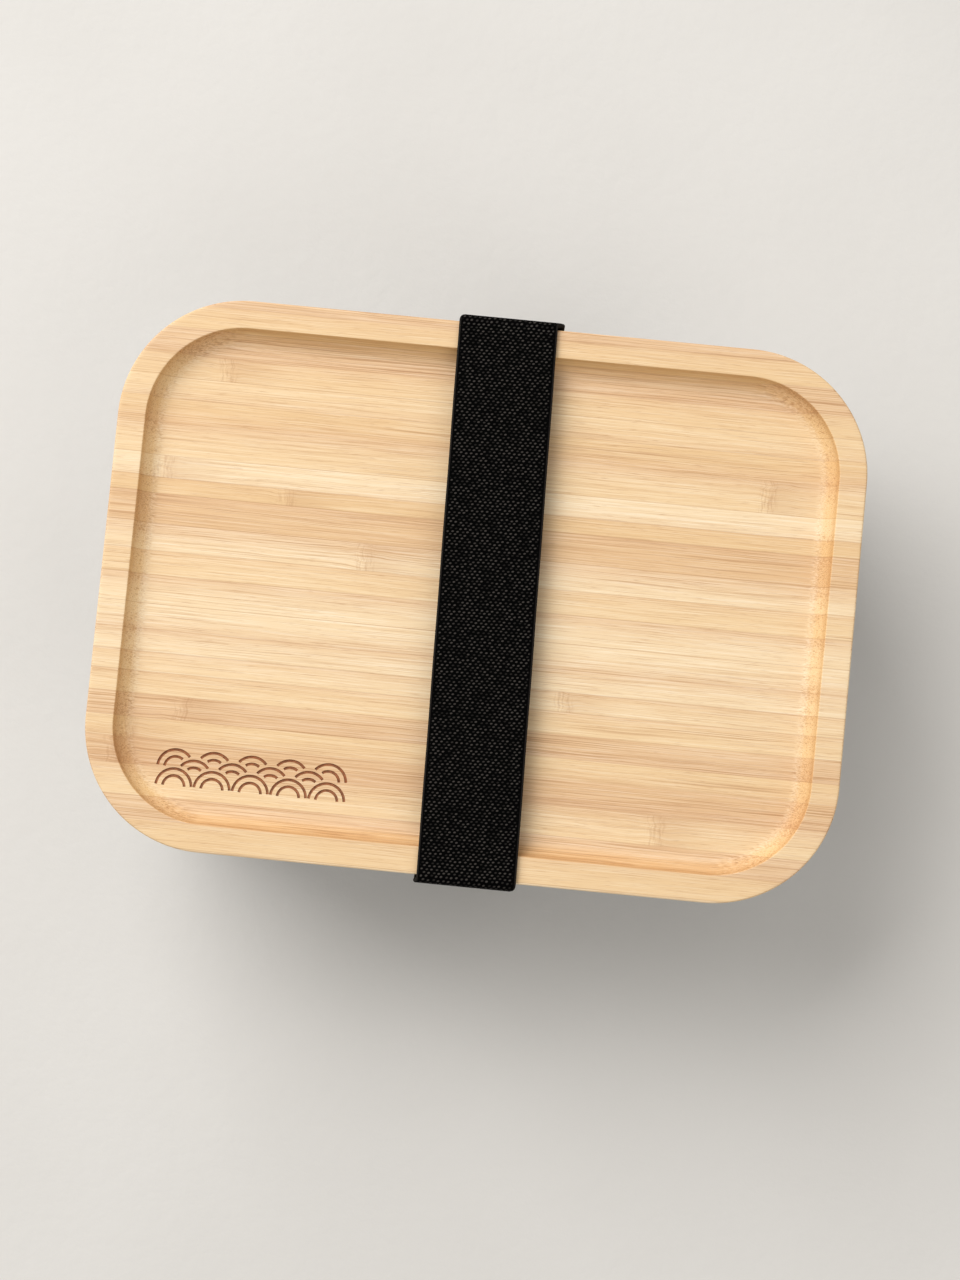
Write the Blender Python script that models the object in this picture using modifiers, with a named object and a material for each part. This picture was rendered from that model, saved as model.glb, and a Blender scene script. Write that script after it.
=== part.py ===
"""A bento lunch box: a deep-drawn steel tub, a milled bamboo lid with a silicone seal, a
sliding divider, and the elastic band that holds the lid down. The band is one strip sewn into
a loop, modelled as its four straight runs and its sewn overlap.

Metres, +Z up. The origin is on the surface that the box stands on, under the lid's centre.
X runs along the lid's length and Y across it, with the front at -Y. The band wraps the
box's middle in the YZ plane, so the box stands on the band's bottom run.

Every rounded-rectangle level of the tub, lid and seal is the lid's outline moved inwards by
an inset, so all their corners share four centres.
"""

import math

import bmesh
import bpy
from mathutils import Matrix, Vector

MM = 0.001

GAP = 0.3 * MM  # kept between pieces that touch

# Lid
LID_LENGTH = 190 * MM
LID_WIDTH = 140 * MM
LID_CORNER = 31.5 * MM
LID_BOARD = 9 * MM  # the board above the tub's rim
LID_EDGE_ROUND = 0.8 * MM
TRAY_RIM = 6.8 * MM  # the flat border round the tray milled into the top
TRAY_DEPTH = 4.2 * MM
TRAY_COVE = 5 * MM  # radius of the cutter's corner, between the tray's wall and its floor
TRAY_EDGE_ROUND = 0.4 * MM
PLUG_DEPTH = 6 * MM  # the step under the board that goes into the tub
PLUG_CLEARANCE = 1.6 * MM
PLUG_EDGE_ROUND = 0.8 * MM
GROOVE_HEIGHT = 3 * MM
GROOVE_DEPTH = 2.6 * MM
GROOVE_FLOOR = 1.6 * MM  # wood left under the groove

# Seal
SEAL_LIP = 0.8 * MM

# Tub
TUB_HEIGHT = 54 * MM
SHEET = 0.6 * MM
LID_OVERHANG = 1 * MM  # how far the lid stands out past the tub's rim
RIM_CURL = 1.6 * MM  # outer radius of the rolled rim
RIM_CURL_END = -60  # degrees; where the roll stops, past its outermost point at 0
WALL_DRAFT = math.radians(4)
BASE_FILLET = 10 * MM  # outer radius between wall and base
PANEL_MARGIN = 4 * MM  # flat foot between the fillet and the raised panel
PANEL_RISE = 0.8 * MM
PANEL_SLOPE = 1.5 * MM

# Divider
DIVIDER_X = 25 * MM  # a larger and a smaller compartment
DIVIDER_HEADROOM = 2 * MM  # under the lid's plug
PLATE_THICK = 0.8 * MM
HEM_RADIUS = 1.1 * MM  # folded top edge of the plate
TRIM_WIDTH = 3.2 * MM
TRIM_DEPTH = 4 * MM
TRIM_LAND = 1.4 * MM  # silicone between the plate's edge and the tub
TRIM_STOP = 3 * MM  # how far the trim ends under the plate's top

# Band
BAND_WIDTH = 25 * MM
BAND_THICK = 1.2 * MM
BAND_X = 2.7 * MM
BAND_STANDOFF = 0.7 * MM  # stiff elastic doesn't lie tight round the lid's edge
BAND_FOLD = 1 * MM  # inner radius where it turns over the lid's edge
BAND_SKEW_TOP = 1.5 * MM  # sideways drift at each end of the top run
BAND_SKEW_BASE = 0.4 * MM
LAP_HEIGHT = 18 * MM  # the sewn overlap that closes the loop
LAP_START = 10 * MM  # along the straight side run, from its lower end
THREAD_RADIUS = 0.3 * MM
SEAM_MARGIN = 2.5 * MM  # from the overlap's edges to the seam

# Fineness of the curved shapes
CORNER_STEPS = 12
SMALL_STEPS = 4
FILLET_STEPS = 7
CURL_STEPS = 10

# Levels, from the bottom up
TUB_BASE = BAND_THICK + GAP
RIM_TOP = TUB_BASE + TUB_HEIGHT
BOARD_LOW = RIM_TOP + GAP
LID_TOP = BOARD_LOW + LID_BOARD
PLUG_LOW = BOARD_LOW - PLUG_DEPTH
BAND_TOP_IN = LID_TOP + GAP
BAND_TOP_OUT = BAND_TOP_IN + BAND_THICK
FOOT_FLOOR = TUB_BASE + SHEET
PANEL_FLOOR = FOOT_FLOOR + PANEL_RISE

# The tub's wall, as insets from the lid's outline. The food side rises from the base fillet
# to the rolled rim at a slope of WALL_DRAFT, touching both curves.
CURL_INSET = LID_OVERHANG + RIM_CURL
CURL_Z = RIM_TOP - RIM_CURL
INNER_FILLET = BASE_FILLET - SHEET
FILLET_Z = FOOT_FLOOR + INNER_FILLET
WALL_TOP_INSET = CURL_INSET + RIM_CURL * math.cos(WALL_DRAFT)
WALL_TOP_Z = CURL_Z + RIM_CURL * math.sin(WALL_DRAFT)
WALL_LOW_Z = FILLET_Z - INNER_FILLET * math.sin(WALL_DRAFT)
WALL_LOW_INSET = WALL_TOP_INSET + (WALL_TOP_Z - WALL_LOW_Z) * math.tan(WALL_DRAFT)
FILLET_INSET = WALL_LOW_INSET + INNER_FILLET * math.cos(WALL_DRAFT)
PANEL_INSET = FILLET_INSET + PANEL_MARGIN
PLUG_INSET = WALL_TOP_INSET + PLUG_CLEARANCE
GROOVE_LOW = PLUG_LOW + GROOVE_FLOOR
DIVIDER_TOP = PLUG_LOW - DIVIDER_HEADROOM

BOX_CENTRE = Vector((0, 0, BAND_TOP_OUT / 2))

MATERIALS = {
    # colour, roughness, metallic
    "bamboo": ((0.72, 0.49, 0.26), 0.55, 0.0),
    "steel": ((0.62, 0.62, 0.61), 0.32, 1.0),
    "clear_silicone": ((0.80, 0.82, 0.80), 0.45, 0.0),
    "grey_silicone": ((0.36, 0.38, 0.38), 0.55, 0.0),
    "black_elastic": ((0.012, 0.012, 0.013), 0.85, 0.0),
    "black_thread": ((0.02, 0.02, 0.02), 0.6, 0.0),
}


def clear_scene():
    for obj in list(bpy.data.objects):
        bpy.data.objects.remove(obj, do_unlink=True)


def collection(name):
    made = bpy.data.collections.new(name)
    bpy.context.scene.collection.children.link(made)
    return made


def material(name):
    found = bpy.data.materials.get(name)
    if found:
        return found
    colour, roughness, metallic = MATERIALS[name]
    made = bpy.data.materials.new(name)
    made.use_nodes = True
    shader = made.node_tree.nodes["Principled BSDF"]
    shader.inputs["Base Color"].default_value = (*colour, 1)
    shader.inputs["Roughness"].default_value = roughness
    shader.inputs["Metallic"].default_value = metallic
    return made


def add_object(name, bm, where, finish=None, origin=(0, 0, 0)):
    """Turns bm into an object whose origin is at the given point, with bm's shape in place."""
    bmesh.ops.recalc_face_normals(bm, faces=bm.faces)
    mesh = bpy.data.meshes.new(name)
    bm.to_mesh(mesh)
    bm.free()
    mesh.transform(Matrix.Translation(origin).inverted())
    mesh.shade_smooth()
    mesh.set_sharp_from_angle(angle=math.radians(35))
    obj = bpy.data.objects.new(name, mesh)
    obj.location = origin
    where.objects.link(obj)
    if finish:
        mesh.materials.append(material(finish))
    return obj


def modifier(obj, kind, name, **settings):
    made = obj.modifiers.new(name, kind)
    for key, value in settings.items():
        setattr(made, key, value)
    return made


def thicken(obj, name, thickness):
    """Gives an open skin its thickness on the side away from the box's centre."""
    largest = max(obj.data.polygons, key=lambda face: face.area)
    away = obj.matrix_world @ largest.center - BOX_CENTRE
    side = math.copysign(1, largest.normal.dot(away))
    modifier(obj, "SOLIDIFY", name, thickness=thickness, offset=side, use_even_offset=True)


def hide_cutter(obj):
    obj.hide_render = True
    obj.display_type = "WIRE"


def arc(inset, z, radius, start, end, steps):
    """(inset, z) points on an arc; 0 degrees points outwards and 90 degrees up."""
    angles = [math.radians(start + (end - start) * i / steps) for i in range(steps + 1)]
    return [(inset - radius * math.cos(a), z + radius * math.sin(a)) for a in angles]


def outline(inset, z):
    """The lid's rounded-rectangle outline moved inwards by inset, at height z."""
    radius = LID_CORNER - inset
    centre_x = LID_LENGTH / 2 - LID_CORNER
    centre_y = LID_WIDTH / 2 - LID_CORNER
    corners = [(1, 1, 0), (-1, 1, 90), (-1, -1, 180), (1, -1, 270)]
    points = []
    for side_x, side_y, start in corners:
        for step in range(CORNER_STEPS + 1):
            angle = math.radians(start + 90 * step / CORNER_STEPS)
            x = side_x * centre_x + radius * math.cos(angle)
            y = side_y * centre_y + radius * math.sin(angle)
            points.append((x, y, z))
    return points


def face_raised_through(levels):
    """A face at the first (inset, z) level, extruded and resized through all the others."""
    bm = bmesh.new()
    face = bm.faces.new([bm.verts.new(point) for point in outline(*levels[0])])
    for level in levels[1:]:
        grown = [face, *face.edges, *face.verts]
        raised = bmesh.ops.extrude_face_region(bm, geom=grown)["geom"]
        face = next(item for item in raised if isinstance(item, bmesh.types.BMFace))
        for vert, point in zip(face.verts, outline(*level), strict=True):
            vert.co = point
    return bm, face


def ring_swept_through(levels):
    """A closed ring whose cross-section is the polygon of (inset, z) levels."""
    bm = bmesh.new()
    first = [bm.verts.new(point) for point in outline(*levels[0])]
    start = [bm.edges.new((a, b)) for a, b in zip(first, first[1:] + first[:1], strict=True)]
    loop = start
    verts = first
    for level in levels[1:]:
        made = bmesh.ops.extrude_edge_only(bm, edges=loop)["geom"]
        grown = {item for item in made if isinstance(item, bmesh.types.BMVert)}
        verts = [
            next(e.other_vert(v) for e in v.link_edges if e.other_vert(v) in grown)
            for v in verts
        ]
        for vert, point in zip(verts, outline(*level), strict=True):
            vert.co = point
        loop = [item for item in made if isinstance(item, bmesh.types.BMEdge)]
        loop = [edge for edge in loop if set(edge.verts) <= grown]
    bmesh.ops.bridge_loops(bm, edges=start + loop)
    return bm


def wall_inset(z):
    """How far the tub's food-side wall is inside the lid's outline at height z."""
    return WALL_TOP_INSET + (WALL_TOP_Z - z) * math.tan(WALL_DRAFT)


def make_tub(where):
    draft = math.degrees(WALL_DRAFT)
    levels = [
        (PANEL_INSET + PANEL_SLOPE, PANEL_FLOOR),
        (PANEL_INSET, FOOT_FLOOR),
        *arc(FILLET_INSET, FILLET_Z, INNER_FILLET, -90, -draft, FILLET_STEPS),
        *arc(CURL_INSET, CURL_Z, RIM_CURL, 180 - draft, RIM_CURL_END, CURL_STEPS),
    ]
    bm, opening = face_raised_through(levels)
    bmesh.ops.delete(bm, geom=[opening], context="FACES_ONLY")
    tub = add_object("steel_tub", bm, where, "steel")
    thicken(tub, "sheet", SHEET)


def make_lid(where):
    edge, brim = LID_EDGE_ROUND, TRAY_EDGE_ROUND
    # The cove and the rounding of the tray's edge touch where the line between their centres
    # crosses them, at this angle above the level.
    brim_z = LID_TOP - brim
    cove_z = LID_TOP - TRAY_DEPTH + TRAY_COVE
    slant = math.asin((cove_z - brim_z) / (TRAY_COVE + brim))
    cove_inset = TRAY_RIM + (TRAY_COVE + brim) * math.cos(slant)
    turn = math.degrees(slant)
    levels = [
        *arc(PLUG_INSET + PLUG_EDGE_ROUND, PLUG_LOW + PLUG_EDGE_ROUND, PLUG_EDGE_ROUND, -90, 0,
             SMALL_STEPS),
        (PLUG_INSET, GROOVE_LOW),
        (PLUG_INSET + GROOVE_DEPTH, GROOVE_LOW),
        (PLUG_INSET + GROOVE_DEPTH, GROOVE_LOW + GROOVE_HEIGHT),
        (PLUG_INSET, GROOVE_LOW + GROOVE_HEIGHT),
        (PLUG_INSET, BOARD_LOW),
        *arc(edge, BOARD_LOW + edge, edge, -90, 0, SMALL_STEPS),
        *arc(edge, LID_TOP - edge, edge, 0, 90, SMALL_STEPS),
        *arc(TRAY_RIM, brim_z, brim, 90, 180 - turn, SMALL_STEPS),
        *arc(cove_inset, cove_z, TRAY_COVE, -turn, -90, FILLET_STEPS)[1:],
    ]
    bm, _ = face_raised_through(levels)
    add_object("bamboo_lid", bm, where, "bamboo")


def make_seal(where):
    """A ring in the plug's groove, with one lip that bends up against the tub's wall."""
    low = GROOVE_LOW + GAP
    high = GROOVE_LOW + GROOVE_HEIGHT - GAP
    lip_z = high - SEAL_LIP
    levels = [
        (PLUG_INSET + GROOVE_DEPTH - GAP, low),
        (PLUG_INSET + GAP, low),
        (PLUG_INSET, low + SEAL_LIP),
        (wall_inset(lip_z) + GAP, lip_z),
        (wall_inset(high) + GAP, high),
        (PLUG_INSET + GAP, high - SEAL_LIP / 2),
        (PLUG_INSET + GROOVE_DEPTH - GAP, high),
    ]
    add_object("lid_seal", ring_swept_through(levels), where, "clear_silicone")


def tub_section(inset, top):
    """The tub's food-side cross-section at its middle, as (y, z), moved inwards by inset."""
    fillet_y = LID_WIDTH / 2 - FILLET_INSET
    radius = INNER_FILLET - inset
    low = PANEL_FLOOR + inset
    draft = math.degrees(WALL_DRAFT)
    floor_angle = -math.degrees(math.asin((FILLET_Z - low) / radius))
    lower = arc(0, FILLET_Z, radius, floor_angle, -draft, FILLET_STEPS)
    right = [(fillet_y - along, z) for along, z in lower]
    rise = top - right[-1][1]
    right.append((right[-1][0] + rise * math.tan(WALL_DRAFT), top))
    return [(-y, z) for y, z in reversed(right)] + right


def extruded_section(points, thickness):
    """A flat outline in the YZ plane, extruded evenly to both sides of X = DIVIDER_X."""
    bm = bmesh.new()
    low = DIVIDER_X - thickness / 2
    face = bm.faces.new([bm.verts.new((low, y, z)) for y, z in points])
    raised = bmesh.ops.extrude_face_region(bm, geom=[face])["geom"]
    verts = [item for item in raised if isinstance(item, bmesh.types.BMVert)]
    bmesh.ops.translate(bm, verts=verts, vec=(thickness, 0, 0))
    return bm


def make_divider(where, cutters):
    origin = (DIVIDER_X, 0, PANEL_FLOOR)
    hem_z = DIVIDER_TOP - HEM_RADIUS
    edge = GAP + TRIM_LAND

    plate_points = tub_section(edge, hem_z)
    bm = extruded_section(plate_points, PLATE_THICK)
    plate = add_object("divider_plate", bm, where, "steel", origin)

    bm = bmesh.new()
    half_hem = plate_points[-1][0] - HEM_RADIUS
    turn = Matrix.Translation((DIVIDER_X, 0, hem_z)) @ Matrix.Rotation(math.pi / 2, 4, "X")
    bmesh.ops.create_cone(
        bm, cap_ends=True, segments=16, radius1=HEM_RADIUS, radius2=HEM_RADIUS,
        depth=2 * half_hem, matrix=turn,
    )
    hem = add_object("hem_shape", bm, cutters)
    hide_cutter(hem)
    modifier(plate, "BOOLEAN", "folded_hem", operation="UNION", object=hem)

    trim_top = DIVIDER_TOP - TRIM_STOP
    outer = tub_section(GAP, trim_top)
    inner = tub_section(GAP + TRIM_DEPTH, trim_top)
    bm = extruded_section(outer + inner[::-1], TRIM_WIDTH)
    trim = add_object("divider_trim", bm, where, "grey_silicone", origin)

    slot_points = tub_section(edge - GAP, DIVIDER_TOP)
    bm = extruded_section(slot_points, PLATE_THICK + 2 * GAP)
    slot = add_object("plate_slot", bm, cutters)
    hide_cutter(slot)
    modifier(trim, "BOOLEAN", "plate_slot", operation="DIFFERENCE", object=slot)


def band_centre(y, z):
    """The band's centre in X: it drifts to -X towards the back, and most at the top."""
    skew = BAND_SKEW_BASE + (BAND_SKEW_TOP - BAND_SKEW_BASE) * z / BAND_TOP_OUT
    return BAND_X - skew * y / (LID_WIDTH / 2)


def side_run_path(lift):
    """(y, z) from the base to the lid's top edge on the +Y side, as the taut band runs. Lift
    moves the path outwards from the band's inner face."""
    fillet_y = LID_WIDTH / 2 - FILLET_INSET
    reach = BASE_FILLET + GAP
    lid_y = LID_WIDTH / 2 + BAND_STANDOFF
    across = lid_y - fillet_y
    up = BOARD_LOW - FILLET_Z
    lean = math.degrees(math.atan2(across, up) - math.asin(reach / math.hypot(across, up)))
    base = arc(0, FILLET_Z, reach + lift, -90, -lean, FILLET_STEPS)
    path = [(fillet_y - along, z) for along, z in base]
    path.append((lid_y + lift, BOARD_LOW))
    fold = arc(0, BAND_TOP_IN - BAND_FOLD, BAND_FOLD + lift, 0, 90, SMALL_STEPS)
    path += [(lid_y - BAND_FOLD - along, z) for along, z in fold]
    return path


def up_side_run(lift, distance):
    """The (y, z) this far up the straight part of the side run, moved outwards by lift."""
    low, high = side_run_path(lift)[FILLET_STEPS : FILLET_STEPS + 2]
    share = distance / math.dist(low, high)
    return low[0] + (high[0] - low[0]) * share, low[1] + (high[1] - low[1]) * share


def strip(name, path, where):
    """A band run: (y, z) points of its inner face, drawn out to the band's width and given
    its thickness on the outer side."""
    bm = bmesh.new()
    left = [bm.verts.new((band_centre(y, z) - BAND_WIDTH / 2, y, z)) for y, z in path]
    edges = [bm.edges.new(pair) for pair in zip(left[:-1], left[1:], strict=True)]
    drawn = bmesh.ops.extrude_edge_only(bm, edges=edges)["geom"]
    verts = [item for item in drawn if isinstance(item, bmesh.types.BMVert)]
    bmesh.ops.translate(bm, verts=verts, vec=(BAND_WIDTH, 0, 0))
    run = add_object(name, bm, where, "black_elastic")
    thicken(run, "webbing", BAND_THICK)


def make_band(where):
    side = side_run_path(0)
    base_end = side[0][0] - GAP
    top_end = side[-1][0] - GAP
    strip("band_bottom_run", [(-base_end, BAND_THICK), (base_end, BAND_THICK)], where)
    strip("band_top_run", [(-top_end, BAND_TOP_IN), (top_end, BAND_TOP_IN)], where)
    strip("band_front_run", [(-y, z) for y, z in side], where)
    strip("band_back_run", side, where)

    over_run = BAND_THICK + GAP
    lap = [up_side_run(over_run, LAP_START + rise) for rise in (0, LAP_HEIGHT)]
    strip("band_lap", lap, where)


def make_seam(where):
    """The thread that sews the overlap down, as a closed rectangle of stitches."""
    lift = 2 * (BAND_THICK + GAP) + THREAD_RADIUS
    low = up_side_run(lift, LAP_START + SEAM_MARGIN)
    high = up_side_run(lift, LAP_START + LAP_HEIGHT - SEAM_MARGIN)
    reach = BAND_WIDTH / 2 - SEAM_MARGIN
    corners = [(-reach, low), (reach, low), (reach, high), (-reach, high)]
    curve = bpy.data.curves.new("seam_thread", "CURVE")
    curve.dimensions = "3D"
    curve.bevel_depth = THREAD_RADIUS
    curve.bevel_resolution = 2
    spline = curve.splines.new("POLY")
    spline.use_cyclic_u = True
    spline.points.add(len(corners) - 1)
    for point, (across, (y, z)) in zip(spline.points, corners, strict=True):
        point.co = (band_centre(y, z) + across, y, z, 1)
    curve.materials.append(material("black_thread"))
    where.objects.link(bpy.data.objects.new("seam_thread", curve))


def main():
    clear_scene()
    parts = collection("bento_lunch_box")
    cutters = collection("cutters")
    make_tub(parts)
    make_lid(parts)
    make_seal(parts)
    make_divider(parts, cutters)
    make_band(parts)
    make_seam(parts)


main()
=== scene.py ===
"""The finished look of a bento lunch box: a bamboo lid with a shallow tray and a silicone seal,
a deep-drawn steel tub, a sliding divider and the black elastic band that holds the lid down.

Metres, +Z up, with the front at -Y. The tub, lid and seal are stacks of rounded rectangles:
each level is the lid's outline moved inwards by an inset, at a height.
"""

import math
from contextlib import contextmanager

import bmesh
import bpy
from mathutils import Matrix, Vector


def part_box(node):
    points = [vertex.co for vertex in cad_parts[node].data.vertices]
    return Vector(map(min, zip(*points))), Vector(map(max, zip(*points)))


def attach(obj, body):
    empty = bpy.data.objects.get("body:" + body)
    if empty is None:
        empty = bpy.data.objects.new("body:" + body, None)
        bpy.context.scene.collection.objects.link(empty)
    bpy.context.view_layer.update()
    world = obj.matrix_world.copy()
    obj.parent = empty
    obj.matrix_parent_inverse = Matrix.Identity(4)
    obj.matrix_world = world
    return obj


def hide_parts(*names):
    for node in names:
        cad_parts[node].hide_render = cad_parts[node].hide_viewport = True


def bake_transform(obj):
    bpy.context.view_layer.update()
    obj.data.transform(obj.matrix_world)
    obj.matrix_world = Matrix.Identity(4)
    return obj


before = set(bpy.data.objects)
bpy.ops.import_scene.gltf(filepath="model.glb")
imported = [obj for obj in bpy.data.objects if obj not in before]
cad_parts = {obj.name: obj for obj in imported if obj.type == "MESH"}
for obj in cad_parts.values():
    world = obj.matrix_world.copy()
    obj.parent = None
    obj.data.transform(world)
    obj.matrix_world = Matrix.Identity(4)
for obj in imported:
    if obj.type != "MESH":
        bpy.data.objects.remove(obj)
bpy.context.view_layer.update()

MM = 0.001
GAP = 0.3 * MM  # kept between pieces that touch

# Lid
LID_LOW, LID_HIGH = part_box("bamboo_lid")
LENGTH = LID_HIGH.x - LID_LOW.x
WIDTH = LID_HIGH.y - LID_LOW.y
CORNER = 31.5 * MM
LID_TOP = LID_HIGH.z
BOARD_LOW = LID_TOP - 9 * MM
EDGE_ROUND = 0.5 * MM
TRAY_RIM = 6.8 * MM
TRAY_FLOOR = LID_TOP - 4.2 * MM
TRAY_COVE = 5 * MM
BRIM_ROUND = 0.3 * MM
PLUG_LOW = LID_LOW.z
PLUG_INSET = 5.8 * MM
GROOVE_LOW = PLUG_LOW + 1.6 * MM
GROOVE_HIGH = GROOVE_LOW + 3 * MM
GROOVE_DEPTH = 2.6 * MM
# Flat strips beside curves and beside edges that are rounded later
EDGE_LAND = 1.2 * MM
TRAY_LAND = 0.6 * MM
PLUG_LAND = 1.3 * MM

# Engraving, in millimetres
WAVE = 4.85
WAVE_ARCS = (WAVE - 0.35, WAVE - 2.1)
WAVE_CLEARANCE = 0.55
WAVES_LEFT, WAVES_LOW = -76.6, -54.2
LINE_RADIUS = 0.36

# Seal
SEAL_LIP_INSET = 0.55 * MM
SEAL_LIP_RISES = (0.15 * MM, 0.35 * MM)
SEAL_ROUND = 0.18 * MM

# Tub
TUB_LOW, TUB_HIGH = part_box("steel_tub")
SHEET = 0.6 * MM
CURL_INSET = 2.6 * MM
CURL_RADIUS = 1.6 * MM
CURL_Z = TUB_HIGH.z - CURL_RADIUS
DRAFT = math.radians(4)
WALL_TOP_INSET = CURL_INSET + CURL_RADIUS * math.cos(DRAFT)
WALL_TOP_Z = CURL_Z + CURL_RADIUS * math.sin(DRAFT)
FLOOR_Z = TUB_LOW.z + SHEET
FILLET = 9.4 * MM  # on the food side
FILLET_Z = FLOOR_Z + FILLET
WALL_LOW_Z = FILLET_Z - FILLET * math.sin(DRAFT)
WALL_LOW_INSET = WALL_TOP_INSET + (WALL_TOP_Z - WALL_LOW_Z) * math.tan(DRAFT)
FILLET_INSET = WALL_LOW_INSET + FILLET * math.cos(DRAFT)
PANEL_INSET = FILLET_INSET + 4 * MM
PANEL_SLOPE = 1.5 * MM
PANEL_Z = FLOOR_Z + 0.8 * MM
PANEL_ROUND = 0.7 * MM
FLOOR_LAND = 0.5 * MM
PANEL_LAND = 1.5 * MM

# Divider
PLATE_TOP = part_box("divider_plate")[1].z
TRIM_LOW, TRIM_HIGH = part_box("divider_trim")
TRIM_TOP = TRIM_HIGH.z
DIVIDER_X = (TRIM_LOW.x + TRIM_HIGH.x) / 2
PLATE_THICK = 0.8 * MM
HEM_RADIUS = 1.1 * MM
HEM_LOW = PLATE_TOP - 2 * HEM_RADIUS
HEM_OVERHANG = HEM_RADIUS - PLATE_THICK / 2
TRIM_DEPTH = 4 * MM
TRIM_LAND = 1.4 * MM
PLATE_ROUND = 0.08 * MM
TRIM_ROUND = 0.35 * MM

# Band
BAND_WIDTH = 25 * MM
BAND_THICK = 1.2 * MM
BAND_X = 2.7 * MM
BAND_SKEW_TOP = 1.5 * MM
BAND_SKEW_BASE = 0.4 * MM
BAND_FOLD = 1 * MM
BAND_Y = WIDTH / 2 + 0.7 * MM  # inner face of the side runs, at the lid
BAND_TOP = LID_TOP + GAP + BAND_THICK
SIDE_BULGE = 0.35 * MM  # of the side runs, beside the lid
BASE_STEPS, RUN_STEPS = 14, 24
RUN = slice(BASE_STEPS + 1, BASE_STEPS + RUN_STEPS + 1)  # the straight part of a side run
SIDE_Y = 60 * MM  # the side runs lie beyond it
FOLD_SHIFT_BACK = 1.8 * MM
FOLD_SHIFT_FRONT = -0.8 * MM
FOLD_SHIFT_DROP = 3 * MM  # below the top run, where the shift is complete
RIPPLE, RIPPLE_LENGTH = 0.05 * MM, 5.3 * MM  # of the woven edges

# Overlap: below it, the strip climbs from the tub's side onto its own inner end.
CLIMB_START, CLIMB_END = 6 * MM, 1 * MM
INNER_END = 0.5 * MM  # above the overlap's foot

# Stitches
STITCH_PITCH = 2.6 * MM
STITCH_MARGIN = 2.5 * MM
STITCH_GAP = 0.08  # share of the pitch, at each end
THREAD_RADIUS = 0.26 * MM


# ---------------------------------------------------------------- camera, lights and floor


def make_camera():
    camera = bpy.data.objects.new("camera", bpy.data.cameras.new("camera"))
    camera.location = (9.6 * MM, -40.6 * MM, LID_TOP + 602.3 * MM)
    camera.rotation_euler = [math.radians(turn) for turn in (2.965, 0.455, 5.61)]
    camera.data.lens = 67.5
    bpy.context.collection.objects.link(camera)
    bpy.context.scene.camera = camera


def softbox(name, place, size, power, colour):
    light = bpy.data.lights.new(name, "AREA")
    light.shape = "SQUARE"
    light.size = size
    light.energy = power
    light.color = colour
    lamp = bpy.data.objects.new(name, light)
    lamp.location = place
    lamp.rotation_mode = "QUATERNION"
    lamp.rotation_quaternion = (Vector((0, 0, LID_TOP)) - lamp.location).to_track_quat("-Z", "Y")
    bpy.context.collection.objects.link(lamp)


def make_studio():
    softbox("key_softbox", (-1.08, 1.05, 1.4), 1.6, 40, (1.0, 0.99, 0.975))
    softbox("fill_softbox", (1.0, -0.9, 1.4), 1.4, 5, (1.0, 0.98, 0.95))
    world = bpy.data.worlds.new("pale_room")
    bpy.context.scene.world = world
    world.use_nodes = True
    world.node_tree.nodes["Background"].inputs["Color"].default_value = (1, 0.985, 0.955, 1)
    world.node_tree.nodes["Background"].inputs["Strength"].default_value = 0.42
    bpy.context.scene.view_settings.view_transform = "Standard"


# ---------------------------------------------------------------- shaping tools


def select_only(obj):
    bpy.ops.object.select_all(action="DESELECT")
    obj.select_set(True)
    bpy.context.view_layer.objects.active = obj


@contextmanager
def editing(obj, kind="FACE"):
    """Edit mode on obj alone, with nothing selected."""
    select_only(obj)
    bpy.ops.object.mode_set(mode="EDIT")
    bpy.ops.mesh.select_mode(type=kind)
    bpy.ops.mesh.select_all(action="DESELECT")
    yield
    bpy.ops.object.mode_set(mode="OBJECT")


def pick(kind, test):
    """Selects the edited mesh's verts, edges or faces that pass the test, and nothing else."""
    bpy.ops.mesh.select_all(action="DESELECT")
    mesh = bpy.context.object.data
    bm = bmesh.from_edit_mesh(mesh)
    for item in [item for item in getattr(bm, kind) if test(item)]:
        item.select_set(True)
    bmesh.update_edit_mesh(mesh)


def swell(distance, even=True):
    """Extrudes the selected faces along their normals; a negative distance sinks them."""
    bpy.ops.mesh.extrude_region_shrink_fatten(
        TRANSFORM_OT_shrink_fatten={"value": distance, "use_even_offset": even}
    )


def round_edges(radius, segments):
    bpy.ops.mesh.bevel(offset=radius, segments=segments, profile=0.5, affect="EDGES")


def near(a, b, by=0.02 * MM):
    return abs(a - b) < by


def facing(direction):
    direction = Vector(direction)
    return lambda face: face.normal.dot(direction) > 0.99


def level_at(z):
    """A test for a vertex, edge or face that lies at height z."""
    return lambda item: all(near(vert.co.z, z) for vert in getattr(item, "verts", [item]))


def crisp_edge_at(z):
    level = level_at(z)
    return lambda edge: level(edge) and edge.calc_face_angle(0) > math.radians(60)


def along_x(edge):
    start, end = edge.verts
    return near(start.co.y, end.co.y)


def upright(edge):
    start, end = edge.verts
    return near(start.co.x, end.co.x) and near(start.co.y, end.co.y)


def block(name, centre, size):
    bpy.ops.object.select_all(action="DESELECT")
    bpy.ops.mesh.primitive_cube_add(size=1, location=centre, scale=size)
    made = bpy.context.object
    made.name = made.data.name = name
    bpy.ops.object.transform_apply(location=True, rotation=True, scale=True)
    return made


def new_curve(name, radius, resolution):
    """A round line with closed ends, still without any points."""
    curve = bpy.data.curves.new(name, "CURVE")
    curve.dimensions = "3D"
    curve.bevel_depth = radius
    curve.bevel_resolution = resolution
    curve.use_fill_caps = True
    return curve


def place_points(spline, points):
    spline.points.add(len(points) - 1)
    for point, place in zip(spline.points, points, strict=True):
        point.co = (*place, 1)


def curve_to_mesh(curve):
    made = bpy.data.objects.new(curve.name, curve)
    bpy.context.collection.objects.link(made)
    select_only(made)
    bpy.ops.object.convert(target="MESH")
    return made


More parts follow.
